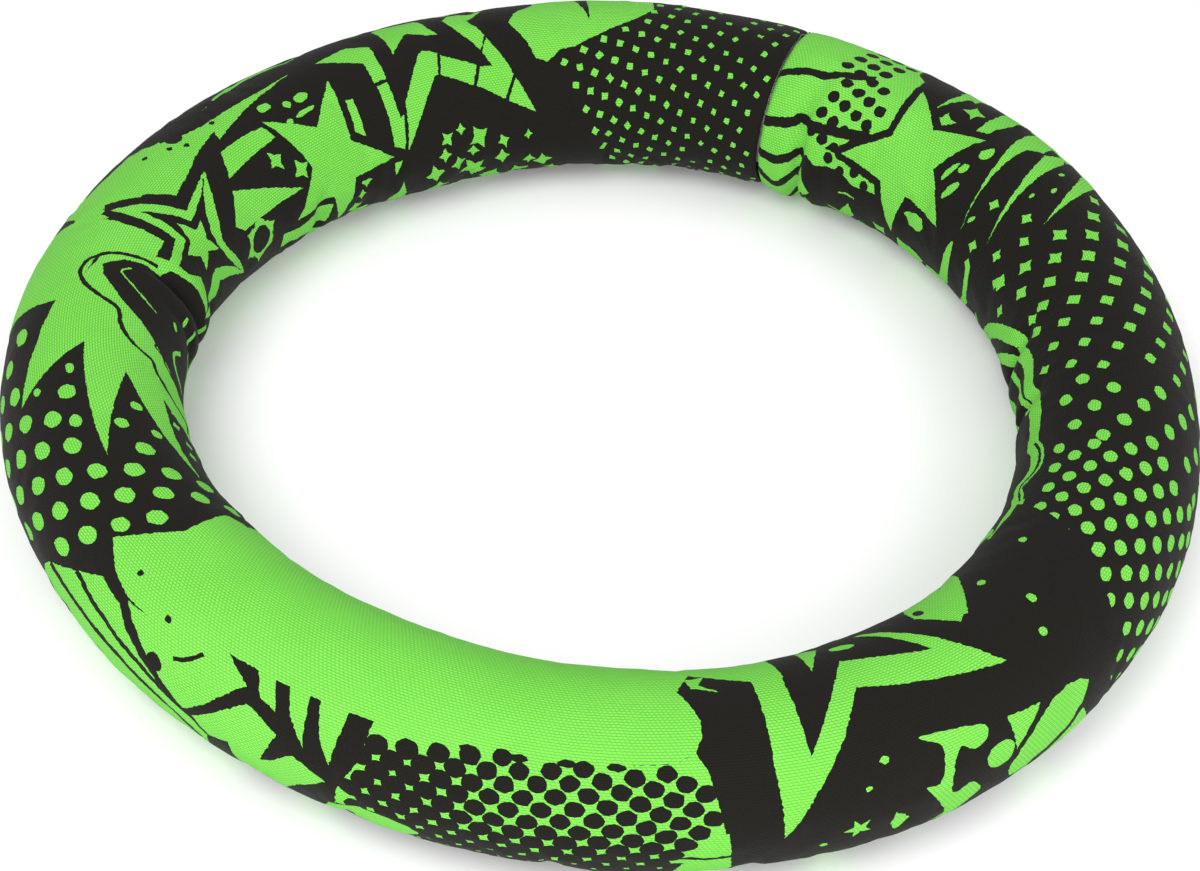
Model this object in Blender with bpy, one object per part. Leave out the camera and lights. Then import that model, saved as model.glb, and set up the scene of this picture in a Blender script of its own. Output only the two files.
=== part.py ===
"""Soft flying ring: a round foam rod bent into a hoop and butt-jointed, inside a
sleeve of neoprene laminate that is wrapped round it and sewn shut.

Metres, +Z up. The ring lies flat; the origin is the middle of the hoop, on the
plane that it rests on. Angles round the hoop are "theta", from +X. Angles round
the tube are "phi": 0 points away from the hoop's axis, 90 up, 180 to the axis,
270 down.
"""

import math

import bmesh
import bpy
from mathutils import Matrix, Vector

# ---- driving dimensions -------------------------------------------------
OUTER_DIAMETER = 0.250  # over the whole ring
TUBE_DIAMETER = 0.038  # over the sleeve
SLEEVE_WALL = 0.003  # knit, foam rubber and lining together
REST_FLAT = 0.006  # width of the band pressed flat where the ring lies

LONG_SEAM_PHI = 240.0  # underneath, on the hoop's inner side
LONG_SEAM_GAP = 0.0004
SEAM_CHAMFER = 0.0007  # the sleeve's edges roll in at the seam
END_SEAM_THETA = 70.0  # where the sleeve's two ends meet
END_SEAM_GAP = 0.0010

CORE_RADIUS = 0.0154
CORE_JOINT_THETA = 250.0  # far from the sleeve's own end seam
CORE_JOINT_GAP = 0.0004
CORE_NECK_RADIUS = 0.0144  # squeezed in under the tape
CORE_DENT_DEPTH = 0.0008  # pressed in along the long seam's inner stitches
NECK_DENT_DEPTH = 0.0004  # the same, where the tape lies between them
DENT_HALF_DEG = 18.0

TAPE_LENGTH = 0.030  # along the rod
TAPE_INNER_RADIUS = 0.01495
TAPE_THICKNESS = 0.00035

THREAD_RADIUS = 0.0002
STITCH_COUNT = 100  # zigzags round the hoop
NEEDLE_HALF_WIDTH = 0.0020
NEEDLE_PATH_RADIUS = 0.0197
BOBBIN_HALF_WIDTH = 0.0015
BOBBIN_PATH_RADIUS = 0.0154
BOBBIN_THREAD_RADIUS = 0.00015
END_STITCH_STEP_DEG = 12.0
END_STITCH_RADIUS = 0.0175
END_STITCH_SWING = 0.0004

HOOP_STEPS = 60
TUBE_STEPS = 26

# ---- derived ------------------------------------------------------------
TUBE_RADIUS = TUBE_DIAMETER / 2
HOOP_RADIUS = OUTER_DIAMETER / 2 - TUBE_RADIUS
REST_DEPTH = math.sqrt(TUBE_RADIUS**2 - (REST_FLAT / 2) ** 2)
FLAT_HALF_DEG = math.degrees(math.asin(REST_FLAT / 2 / TUBE_RADIUS))


def clear_scene():
    for obj in list(bpy.data.objects):
        bpy.data.objects.remove(obj, do_unlink=True)


def make_material(name, colour, roughness, metallic=0.0):
    material = bpy.data.materials.new(name)
    material.use_nodes = True
    shader = material.node_tree.nodes["Principled BSDF"]
    shader.inputs["Base Color"].default_value = (*colour, 1.0)
    shader.inputs["Roughness"].default_value = roughness
    shader.inputs["Metallic"].default_value = metallic
    material.diffuse_color = (*colour, 1.0)
    return material


def section_point(radius, phi_deg):
    """A point of the tube's section, in the XZ plane, with the tube's centre at the hoop radius."""
    a = math.radians(phi_deg)
    return Vector((HOOP_RADIUS + radius * math.cos(a), 0.0, radius * math.sin(a)))


def steps(first, last, count):
    return [first + (last - first) * i / count for i in range(count + 1)]


def add_object(name, data, material, parent):
    data.materials.append(material)
    obj = bpy.data.objects.new(name, data)
    bpy.context.scene.collection.objects.link(obj)
    obj.parent = parent
    return obj


def swept_mesh(name, sections, turn_from, turn_to):
    """Spins a closed outline round Z and closes its two ends.

    sections is a list of (theta in degrees, outline) when the outline changes
    along the hoop, or one outline that is spun in HOOP_STEPS equal steps.
    """
    bm = bmesh.new()
    if isinstance(sections[0], Vector):
        verts = [bm.verts.new(p) for p in sections]
        edges = [
            bm.edges.new((verts[i], verts[(i + 1) % len(verts)]))
            for i in range(len(verts))
        ]
        turn = Matrix.Rotation(math.radians(turn_from), 3, "Z")
        bmesh.ops.rotate(bm, cent=(0, 0, 0), matrix=turn, verts=bm.verts)
        first = list(verts)
        made = bmesh.ops.spin(
            bm,
            geom=verts + edges,
            cent=(0, 0, 0),
            axis=(0, 0, 1),
            angle=math.radians(turn_to - turn_from),
            steps=HOOP_STEPS,
            use_merge=False,
        )
        last_edges = [g for g in made["geom_last"] if isinstance(g, bmesh.types.BMEdge)]
        bmesh.ops.contextual_create(bm, geom=last_edges)
        bm.faces.new(first)
    else:
        rings = []
        for theta, outline in sections:
            turn = Matrix.Rotation(math.radians(theta), 3, "Z")
            rings.append([bm.verts.new(turn @ p) for p in outline])
        count = len(rings[0])
        for a, b in zip(rings, rings[1:]):
            for i in range(count):
                j = (i + 1) % count
                bm.faces.new((a[i], a[j], b[j], b[i]))
        bm.faces.new(rings[0])
        bm.faces.new(rings[-1])
    bmesh.ops.recalc_face_normals(bm, faces=bm.faces)
    mesh = bpy.data.meshes.new(name)
    bm.to_mesh(mesh)
    bm.free()
    mesh.shade_smooth()
    mesh.set_sharp_from_angle(angle=math.radians(35))
    return mesh


def sleeve_outline():
    """C-shaped section: open along the long seam, flat where it rests."""
    half_gap = math.degrees(LONG_SEAM_GAP / 2 / TUBE_RADIUS)
    roll = math.degrees(SEAM_CHAMFER / TUBE_RADIUS)
    inner = TUBE_RADIUS - SLEEVE_WALL
    start, end = LONG_SEAM_PHI + half_gap, LONG_SEAM_PHI + 360 - half_gap
    flat_in, flat_out = 270 - FLAT_HALF_DEG, 270 + FLAT_HALF_DEG
    outer = [section_point(TUBE_RADIUS - SEAM_CHAMFER, start)]
    outer += [section_point(TUBE_RADIUS, a) for a in steps(start + roll, flat_in, 2)]
    outer += [
        section_point(TUBE_RADIUS, a) for a in steps(flat_out, end - roll, TUBE_STEPS)
    ]
    outer.append(section_point(TUBE_RADIUS - SEAM_CHAMFER, end))
    inside = [section_point(inner, a) for a in steps(end, start, 24)]
    return outer + inside


def dented_circle(radius, depth):
    """A round section, pressed in where the long seam's stitches bear on it."""
    return [
        section_point(
            radius - (depth if abs(phi - LONG_SEAM_PHI) < DENT_HALF_DEG else 0), phi
        )
        for phi in range(0, 360, 15)
    ]


def core_sections():
    """The rod, with a shallow neck at each end where the tape squeezes it."""
    half_gap = math.degrees(CORE_JOINT_GAP / 2 / HOOP_RADIUS)
    neck = math.degrees((TAPE_LENGTH / 2 + 0.0012) / HOOP_RADIUS)
    slope = math.degrees(0.0020 / HOOP_RADIUS)
    start, end = CORE_JOINT_THETA + half_gap, CORE_JOINT_THETA + 360 - half_gap
    a, b = CORE_JOINT_THETA + neck, CORE_JOINT_THETA + 360 - neck
    thetas = [(start, True)] + [(t, True) for t in steps(start, a, 2)[1:]]
    thetas += [(t, False) for t in steps(a + slope, b - slope, HOOP_STEPS - 6)]
    thetas += [(t, True) for t in steps(b, end, 2)]
    neck_outline = dented_circle(CORE_NECK_RADIUS, NECK_DENT_DEPTH)
    full_outline = dented_circle(CORE_RADIUS, CORE_DENT_DEPTH)
    return [(t, neck_outline if necked else full_outline) for t, necked in thetas]


def tape_mesh(name):
    """A band once round the rod, over the joint."""
    half = math.degrees(TAPE_LENGTH / 2 / HOOP_RADIUS)
    bm = bmesh.new()
    rings = []
    for theta in steps(CORE_JOINT_THETA - half, CORE_JOINT_THETA + half, 4):
        turn = Matrix.Rotation(math.radians(theta), 3, "Z")
        rings.append(
            [
                [
                    bm.verts.new(turn @ p)
                    for p in dented_circle(radius, NECK_DENT_DEPTH)
                ]
                for radius in (TAPE_INNER_RADIUS, TAPE_INNER_RADIUS + TAPE_THICKNESS)
            ]
        )
    for i in range(24):
        j = (i + 1) % 24
        for a, b in zip(rings, rings[1:]):
            bm.faces.new((a[0][i], b[0][i], b[0][j], a[0][j]))
            bm.faces.new((a[1][i], a[1][j], b[1][j], b[1][i]))
        for end in (rings[0], rings[-1]):
            bm.faces.new((end[0][i], end[0][j], end[1][j], end[1][i]))
    bmesh.ops.recalc_face_normals(bm, faces=bm.faces)
    mesh = bpy.data.meshes.new(name)
    bm.to_mesh(mesh)
    bm.free()
    mesh.shade_smooth()
    mesh.set_sharp_from_angle(angle=math.radians(35))
    return mesh


def thread_curve(name, points, radius):
    curve = bpy.data.curves.new(name, "CURVE")
    curve.dimensions = "3D"
    curve.bevel_depth = radius
    curve.bevel_resolution = 0
    curve.use_fill_caps = True
    spline = curve.splines.new("POLY")
    spline.points.add(len(points) - 1)
    for target, p in zip(spline.points, points):
        target.co = (*p, 1.0)
    return curve


def zigzag_points(path_radius, half_width, margin_deg):
    """Stitches that cross the long seam from side to side all the way round the hoop."""
    swing = math.degrees(half_width / path_radius)
    first = END_SEAM_THETA + margin_deg
    last = END_SEAM_THETA + 360 - margin_deg
    points = []
    for i, theta in enumerate(steps(first, last, 2 * STITCH_COUNT)):
        side = 1 if i % 2 else -1
        turn = Matrix.Rotation(math.radians(theta), 3, "Z")
        points.append(turn @ section_point(path_radius, LONG_SEAM_PHI + side * swing))
    return points


def end_stitch_points():
    """Ladder stitches that draw the sleeve's two ends together, inside the joint."""
    turn = Matrix.Rotation(math.radians(END_SEAM_THETA), 3, "Z")
    count = round((360 - 2 * END_STITCH_STEP_DEG) / END_STITCH_STEP_DEG)
    angles = steps(
        LONG_SEAM_PHI + END_STITCH_STEP_DEG,
        LONG_SEAM_PHI + 360 - END_STITCH_STEP_DEG,
        count,
    )
    return [
        turn
        @ section_point(
            END_STITCH_RADIUS + (END_STITCH_SWING if i % 2 else -END_STITCH_SWING), a
        )
        for i, a in enumerate(angles)
    ]


def main():
    clear_scene()
    knit = make_material("sleeve_knit", (0.27, 0.90, 0.12), 0.85)
    foam = make_material("white_foam", (0.86, 0.86, 0.83), 0.9)
    tape = make_material("tan_tape", (0.72, 0.60, 0.38), 0.5)
    black_thread = make_material("black_thread", (0.02, 0.02, 0.02), 0.7)

    ring = bpy.data.objects.new("ring", None)
    bpy.context.scene.collection.objects.link(ring)
    ring.location.z = REST_DEPTH

    end_half = math.degrees(END_SEAM_GAP / 2 / HOOP_RADIUS)
    add_object(
        "sleeve",
        swept_mesh(
            "sleeve",
            sleeve_outline(),
            END_SEAM_THETA + end_half,
            END_SEAM_THETA + 360 - end_half,
        ),
        knit,
        ring,
    )
    add_object(
        "foam_core", swept_mesh("foam_core", core_sections(), None, None), foam, ring
    )
    add_object("core_joint_tape", tape_mesh("core_joint_tape"), tape, ring)
    add_object(
        "seam_needle_thread",
        thread_curve(
            "seam_needle_thread",
            zigzag_points(NEEDLE_PATH_RADIUS, NEEDLE_HALF_WIDTH, 1.5),
            THREAD_RADIUS,
        ),
        black_thread,
        ring,
    )
    add_object(
        "seam_bobbin_thread",
        thread_curve(
            "seam_bobbin_thread",
            zigzag_points(BOBBIN_PATH_RADIUS, BOBBIN_HALF_WIDTH, 1.5),
            BOBBIN_THREAD_RADIUS,
        ),
        black_thread,
        ring,
    )
    add_object(
        "end_closing_thread",
        thread_curve("end_closing_thread", end_stitch_points(), THREAD_RADIUS),
        black_thread,
        ring,
    )
    bpy.context.view_layer.update()


main()
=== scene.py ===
"""Looks of the flying ring: a printed knit sleeve sewn round a foam hoop, resting on a pale floor."""

import math
import random

import bpy
import numpy as np
from mathutils import Matrix, Vector
from mathutils.geometry import delaunay_2d_cdt


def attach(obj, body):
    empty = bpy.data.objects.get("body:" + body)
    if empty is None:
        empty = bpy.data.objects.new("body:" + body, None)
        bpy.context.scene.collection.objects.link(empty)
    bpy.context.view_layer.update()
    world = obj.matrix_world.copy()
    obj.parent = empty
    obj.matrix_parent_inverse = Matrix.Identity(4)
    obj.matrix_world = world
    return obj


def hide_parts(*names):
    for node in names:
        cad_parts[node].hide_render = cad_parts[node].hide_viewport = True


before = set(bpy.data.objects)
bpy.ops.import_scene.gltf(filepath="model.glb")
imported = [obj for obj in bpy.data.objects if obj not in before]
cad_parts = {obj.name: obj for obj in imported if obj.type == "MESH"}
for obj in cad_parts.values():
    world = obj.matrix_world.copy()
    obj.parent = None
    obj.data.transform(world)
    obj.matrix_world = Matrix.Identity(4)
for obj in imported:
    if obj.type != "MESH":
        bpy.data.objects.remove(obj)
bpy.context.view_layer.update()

MM = 0.001
HOOP = 106.0  # radius of the tube's centreline
TUBE = 19.0  # radius of the tube
REST = math.sqrt(TUBE**2 - 3.0**2)  # height of the tube's middle over the floor
AROUND = 2 * math.pi * HOOP  # length of the flat strip, along the tube
GIRTH = 2 * math.pi * TUBE  # width of the flat strip, round the tube
END_SEAM = math.radians(70) * HOOP  # where the strip's two ends meet
LONG_SEAM = math.radians(240 + 90) * TUBE  # where its two long edges meet
V0, V1 = LONG_SEAM - GIRTH, LONG_SEAM
GREEN, BLACK = 1.0, 0.0

rng = random.Random(11)

# ---------------------------------------------------------------- the print, drawn on the flat strip
# Points are (x, y) in millimetres: x along the tube from the +X side, anticlockwise from above,
# and y round the tube: 0 under it, 30 on the outer side, 60 on top and 90 on the inner side.

art = []  # (outline, ink), painted in this order on black


def shape(points, ink):
    points = [(float(x), float(y)) for x, y in points]
    if sum(p[0] for p in points) / len(points) < END_SEAM:
        points = [(x + AROUND, y) for x, y in points]
    art.append((points, ink))


def smooth(points, closed=True, parts=4):
    """A rounded outline through these points."""
    out, n = [], len(points)
    for i in range(n if closed else n - 1):
        p0, p1, p2, p3 = (
            points[(i + k) % n] if closed else points[min(max(i + k, 0), n - 1)]
            for k in (-1, 0, 1, 2)
        )
        for j in range(parts):
            t = j / parts
            out.append(
                tuple(
                    0.5
                    * (
                        2 * b
                        + (c - a) * t
                        + (2 * a - 5 * b + 4 * c - d) * t * t
                        + (3 * b - a - 3 * c + d) * t**3
                    )
                    for a, b, c, d in zip(p0, p1, p2, p3)
                )
            )
    if not closed:
        out.append(tuple(points[-1]))
    return out


def stroke(points, width, ink, curved=True, taper=False):
    if curved and len(points) > 2:
        points = smooth(points, closed=False)
    left, right, n = [], [], len(points)
    for i, (x, y) in enumerate(points):
        ax, ay = points[max(i - 1, 0)]
        bx, by = points[min(i + 1, n - 1)]
        size = math.hypot(bx - ax, by - ay) or 1
        w = width / 2 * (1 - i / (n - 1) if taper else 1)
        w = max(w, 0.12)
        dx, dy = -(by - ay) / size * w, (bx - ax) / size * w
        left.append((x + dx, y + dy))
        right.append((x - dx, y - dy))
    shape(left + right[::-1], ink)


def disc(x, y, r, ink, ry=None, turn=0.0):
    ry = ry or r
    c, s = math.cos(turn), math.sin(turn)
    n = max(8, int(2 * math.pi * max(r, ry) / 0.8))
    shape(
        [
            (
                x + r * math.cos(a) * c - ry * math.sin(a) * s,
                y + r * math.cos(a) * s + ry * math.sin(a) * c,
            )
            for a in (2 * math.pi * k / n for k in range(n))
        ],
        ink,
    )


def diamond(x, y, r, ink, pinch=0.5, turn=0.0):
    """A diamond whose sides curve in, like the gaps between four dots."""
    pts = []
    for k in range(8):
        a = turn + k * math.pi / 4
        d = r if k % 2 == 0 else r * pinch
        pts.append((x + d * math.cos(a), y + d * math.sin(a)))
    shape(pts, ink)


def star(tips, inner, ink=GREEN, edge=0.0):
    pts = [p for pair in zip(tips, inner) for p in pair]
    if edge:
        ring = pts + [pts[0], pts[1]]
        for a, b in zip(ring, ring[1:-1]):
            stroke([a, b], 2 * edge, 1 - ink, curved=False)
        for x, y in pts:
            disc(x, y, edge, 1 - ink)
    shape(pts, ink)


def star_at(x, y, r, turn, inner=0.42, ink=GREEN, edge=0.0, points=5):
    tips, mids = [], []
    for k in range(points):
        a = math.radians(turn) + 2 * math.pi * k / points
        b = a + math.pi / points
        tips.append((x + r * math.cos(a), y + r * math.sin(a)))
        mids.append((x + r * inner * math.cos(b), y + r * inner * math.sin(b)))
    star(tips, mids, ink, edge)


def within(x, y, outline):
    found = False
    for (x1, y1), (x2, y2) in zip(outline, outline[1:] + outline[:1]):
        if (y1 > y) != (y2 > y) and x < (x2 - x1) * (y - y1) / (y2 - y1) + x1:
            found = not found
    return found


def to_edge(x, y, outline):
    """The distance from a point to the nearest side of an outline."""
    best = 1e9
    for (x1, y1), (x2, y2) in zip(outline, outline[1:] + outline[:1]):
        u, v = x2 - x1, y2 - y1
        t = min(max(((x - x1) * u + (y - y1) * v) / max(u * u + v * v, 1e-9), 0.0), 1.0)
        best = min(best, math.hypot(x - x1 - t * u, y - y1 - t * v))
    return best


def lattice(origin, a, b, region, put, reach=40, drop=0.0, bend=(0.0, 0.0)):
    """put(x, y) at each point of the lattice that lies in the region. The bend curves its rows a little."""
    for i in range(-reach, reach + 1):
        for j in range(-reach, reach + 1):
            x = origin[0] + i * a[0] + j * b[0]
            y = origin[1] + i * a[1] + j * b[1] + bend[0] * min(i * i, 40) + bend[1] * min(j * j, 60)
            if within(x, y, region) and rng.random() >= drop:
                put(x, y)


def ramp(value, low, high):
    return min(max((value - low) / (high - low), 0.0), 1.0)


def draw_print():
    G, K = GREEN, BLACK
    top, low = 112.0, -14.0

    # green diamonds on black, from the ring's right side round its outside
    lattice(
        (9.9, 56.9), (8.46, 3.46), (2.47, 6.84),
        [(-3.5, low), (-3.5, 74), (4, 74), (16, 77), (34, 84), (44, 84), (41, 70), (45, 60), (47, 40), (52, 20), (58, low)],
        lambda x, y: diamond(x, y, 1.55 + 0.6 * ramp(x, 8, 40), G, 0.78 - 0.2 * ramp(x, 10, 40), 0.35),
    )
    for x, y in ((44.5, 54), (50.2, 50), (50.2, 68), (47.3, 78.3), (41.3, 82), (56, 81.5), (59.7, 71.6), (34.4, 84.9), (22, 77.6), (3, 77), (44.7, 71.4)):
        diamond(x, y, 1.6, G, 0.6, 0.3)
    lattice(
        (615.4, 50.4), (3.82, -3.36), (3.17, 4.02),
        [(588, low), (589, 28), (598, 43), (606, 54), (611, 62), (618, 73), (628, 73), (640.5, 74), (640.5, low)],
        lambda x, y: disc(x, y, 1.1 + 0.58 * ramp(x, 595, 612), G, 1.0 + 0.4 * ramp(x, 595, 612), 0.2),
    )
    lattice(
        (649.3, 48.7), (5.58, -3.64), (3.68, 6.46),
        [(641.5, low), (641.5, 74), (655, 75), (661, 76), (661, 52), (661, 30), (661, low)],
        lambda x, y: disc(x, y, 1.75, G, 1.45, 0.3),
    )

    # rays beside the diamonds
    for pts in (
        [(46, 65.7), (55.5, 45), (60, 45)],
        [(52.4, 78.7), (57.5, 66), (60, 57.5), (62, 50), (64.5, 47), (65.3, 53), (62, 60), (57, 70)],
        [(62.4, 81), (65.5, 72), (67.5, 63), (68.2, 56), (66, 53), (68, 47), (73.4, 47), (71.6, 56), (68.8, 64), (65.2, 74)],
        [(76.75, 47), (81.3, 47), (80.3, 56), (79.7, 60.7), (77.2, 59.1)],
        [(87.8, 50.4), (90.6, 50.4), (90.9, 62.3)],
        [(55.5, 46), (62, 20), (66, 20), (61, 46)],
        [(63, 48), (70, 16), (74, 14), (69, 48)],
        [(67.5, 48), (79, 12), (83, 14), (74.5, 48)],
        [(76, 48), (88, 18), (91, 24), (82, 48)],
        [(87, 52), (92, 26), (95, 30), (91, 52)],
    ):
        shape(pts, G)
    for x, y, rx, ry, t in (
        (58.4, 53.8, 0.6, 0.8, 0), (54.4, 58.5, 0.5, 0.9, 0.3), (55.3, 63.8, 0.5, 0.9, 0.3), (72.5, 64.1, 1.25, 2, -0.3),
        (73.8, 70.4, 1, 1.5, -0.2), (72.8, 76.3, 1, 2.8, -0.3), (76.3, 72.9, 0.75, 3, -0.2), (61.6, 77.6, 0.6, 1.2, -0.4),
    ):
        disc(x, y, rx, G, ry, t)
    diamond(84.1, 56.6, 2.7, G, 0.5, 0.4)
    diamond(86.9, 63.5, 2.7, G, 0.5, 0.4)
    # under the outside, a star among the rays
    star_at(72, 6, 13, 70, 0.45, G, 2)

    # wavy green bands on the inner side, around theta 0
    upper = [
        (609.9, 77.6), (610.8, 75.7), (613.6, 74.1), (617.4, 73.8), (622, 75.1), (628, 77.6), (631.8, 75.1), (636, 74.4),
        (641, 75.7), (644.3, 77.6), (650.5, 77.9), (656.8, 77.9), (663, 79.1), (667, 80.3), (674.8, 79.6), (679.8, 80.4),
        (684.1, 82.3), (686, 80.9), (692.3, 83.8), (698.5, 87.3), (703.5, 91.3), (707.3, 96), (710, 99.1), (712, 106),
    ]
    stroke([(x, y + 1.9) for x, y in upper], 3.6, G)
    stroke([(x, y + 1.2) for x, y in upper[2:10]], 0.7, K)
    shape([(609, 78), (611, 75.5), (615, 73.6), (621, 74.4), (621, 78), (614, 79.6)], G)
    stroke([(659, 82.6), (666, 85.4), (674, 86.3), (682, 88.3), (690, 91.5), (697, 96), (702, 101)], 1.6, G)
    stroke([(682, 86), (688, 89), (692, 92), (696, 95.5), (699, 102)], 1.6, G)
    shape(smooth([(611.8, 80), (616, 83), (620, 90), (628, 93), (637, 90), (646, 91), (655, 95), (664, 93), (674, 92), (683, 97), (690, 104), (692, top), (606, top), (604, 96), (608, 86)]), G)
    for x, y, r in ((617, 98, 2.6), (624, 103, 3.2), (634, 100, 2.4), (645, 103, 3.4), (656, 102, 2.6), (668, 100, 3.2), (680, 104, 3)):
        disc(x, y, r, K, r * 1.2, 0.4)
    stroke([(607, 92), (616, 93.5), (626, 97), (637, 94.5), (648, 96), (660, 98.5), (674, 96)], 1.1, K)

    # strokes fanning out on the inner side, between the diamonds and the star
    stroke([(55.6, 85), (53.4, 86.8), (53.0, 91.6), (54.8, 96.6), (58, 100.8), (61, 106)], 1.9, G)
    shape(smooth([(63.1, 84.4), (61.7, 88), (61.6, 92), (63, 97), (66, 101.5), (68, 108), (72, 108), (69.5, 101), (66.4, 96.5), (64.7, 92), (64.4, 88)]), G)
    shape([(67.5, 98), (73, 98.5), (75, 102), (76, 112), (69, 112), (66, 102)], G)
    shape([(74.5, 98.5), (80, 98.3), (84, 96.5), (86, 103), (88, 112), (79, 112), (77.5, 103)], G)
    stroke([(48, 96), (49, 102), (54, 110)], 1.2, G)

    # the green field that ends at the end seam
    shape(
        [(101.8, 52.3), (99, 54.8), (98, 63.5), (96.8, 70.4), (96.8, 72.6), (100, 75.4), (104.5, 78), (106, 84), (112, 90), (115, 97),
         (114, top), (132, top), (132, low), (110, low), (106, 8), (99, 14), (104, 26), (98, 34), (104, 40)],
        G,
    )
    lattice(
        (108.75, 67.95), (3.75, -1.03), (1.08, 4.32),
        [(104.4, 47), (116.4, 47), (116.4, 60), (116.2, 72), (117, 82), (112, 90), (101, 88), (100.2, 70.8), (103.2, 66)],
        lambda x, y: disc(x, y, 1.55, K, 1.42, 0.2),
    )
    lattice(
        (108.8, 18.2), (4.2, -1.2), (1.2, 4.9),
        [(106, 6), (122, 4), (124, 36), (104, 40), (101, 20)],
        lambda x, y: disc(x, y, 1.2 + 0.6 * ramp(x, 104, 122), K),
    )
    stroke([(107.5, 62.3), (112, 64), (118, 66.5), (124, 68), (131, 70)], 2.1, K)
    stroke([(100.5, 76), (105.2, 77.6), (110.9, 78.6), (116, 79), (119.5, 78.2), (122, 79.8), (131, 81.5)], 2.3, K)
    stroke([(110.2, 89.1), (115.2, 88.5), (117.8, 86.6), (120.9, 88.2), (125.3, 89.4), (131, 88.6)], 2.2, K)
    stroke([(116.5, 91.6), (119, 93.4), (122, 96.2), (125.3, 96.8), (131, 93.4)], 2.2, K)
    stroke([(114, 96), (117.5, 101), (123, 106), (131, 104)], 1.8, K)
    stroke([(104, 45), (112, 44), (121, 46), (131, 44)], 1.6, K)
    shape([(92, 83.5), (98, 82), (104, 81.5), (109, 81), (112, 84), (117, 87), (117.5, 92), (115, 100), (112, 112), (90, 112), (86, 98)], K)
    shape([(92.5, 87.5), (93.5, 85.3), (101, 84), (108, 82.8), (115, 82.5), (117, 84.5), (112, 87.6), (106, 86.4), (100, 88.5)], G)
    for x, y in ((96.5, 87.2), (100.5, 85.2), (104.8, 86.8), (109, 84.6)):
        disc(x, y, 1.45, K)
    shape([(89, 96.7), (93.5, 97.5), (93, 101), (90, 101)], G)
    shape([(101, 94.5), (105, 100.5), (108.5, 99.5), (106, 104), (103, 104), (100, 99)], G)
    shape([(113.5, 97), (116.5, 90), (117.4, 92.5), (115.6, 98.5)], G)
    stroke([(99, 92), (102, 91.6), (104, 92.4)], 0.5, G)
    shape([(94, 104), (99, 101), (104, 108), (98, 112), (92, 110)], G)
    # the first star
    star(
        [(75.9, 61.3), (96.8, 59.1), (105.6, 82.3), (86.2, 95.7), (70, 84.8)][::1],
        [(87.1, 67.3), (94.8, 73.8), (92.1, 83.8), (83.4, 84.1), (80.3, 74.8)],
        G, 1.9,
    )
    shape(smooth([(74.5, 87.7), (76, 86.1), (79, 86.2), (82.5, 87.8), (80.5, 89.3), (76, 89.4)]), G)

    # small diamonds on black after the end seam
    lattice(
        (149.13, 70.2), (4.037, -1.447), (1.2, 4.3),
        [(130.6, low), (130.6, top), (168, top), (174, 98), (187, 72), (176, 66), (166, 60), (163, 54), (163, 40), (158, 10), (150, low)],
        lambda x, y: diamond(x, y, 0.9 + 0.25 * ramp(x, 150, 175), G, 0.72, rng.random()),
        drop=0.05, bend=(0.007, -0.013),
    )

    # the torn green patch and the bolt
    shape([(160, 8), (164.3, 40), (163, 54.8), (166.5, 59.1), (172.1, 62.6), (177.1, 65.4), (182.1, 67.9), (186.1, 68.5), (189.3, 71.3), (192.4, 70.1),
           (193.9, 66), (197.4, 59.4), (195.5, 56), (190.5, 51.9), (190, 42), (198, 30), (188, 24), (194, 8), (180, 14), (172, low), (158, low)], G)
    shape([(178, 49), (181.1, 49), (177.9, 60.1)], K)
    shape([(168, 46), (171, 20), (175, 44)], K)
    shape([(182, 46), (186, 14), (188, 40)], K)
    for pts in (
        [(201.8, 51.9), (209.9, 51.9), (212, 54.3), (211.5, 56.5), (206.1, 66.1), (204.2, 62.3), (206.8, 56)],
        [(203.9, 63), (205.9, 66.6), (204.3, 70.7), (207.5, 70.3), (209.6, 74.6), (202.1, 78.8), (199.1, 73.2), (200.5, 69.8)],
        [(198.6, 74.1), (201.3, 79.4), (193.6, 82.9)],
        [(208.3, 69.8), (216.4, 65.1), (218.2, 70.1), (210.5, 74.4)],
        [(217.1, 64.4), (220.5, 62.8), (221.8, 63.8), (230.2, 74.4), (233, 85.4), (219.9, 70.1), (218.8, 69.9)],
        [(232.7, 68.5), (235.8, 68.8), (236.9, 83.5), (233.9, 85.1), (231.9, 76.9), (233.1, 77.6)],
        [(231.4, 57.6), (236.1, 55.1), (239.9, 55.7), (245.2, 56.9), (238.6, 60.4), (235.5, 61.9), (235.8, 67.6), (232.4, 67.6)],
        [(217.4, 50), (227.4, 50), (227.1, 56), (227.5, 61.9), (221.8, 56.3), (214.9, 59.4), (216.1, 56.6)],
        [(243.6, 69.6), (245.6, 69.4), (247.1, 76.9), (244.5, 78.7)],
        # the same bolt, carried on over the outside
        [(199, 49.5), (214, 49.5), (222, 30), (210, 34), (216, 14), (196, 38), (207, 35)],
        [(217, 47), (232, 47), (238, 26), (228, 30), (236, 6), (215, 32), (225, 29)],
        [(205, 8), (226, 4), (214, low), (200, low)],
    ):
        shape(pts, G)
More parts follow.
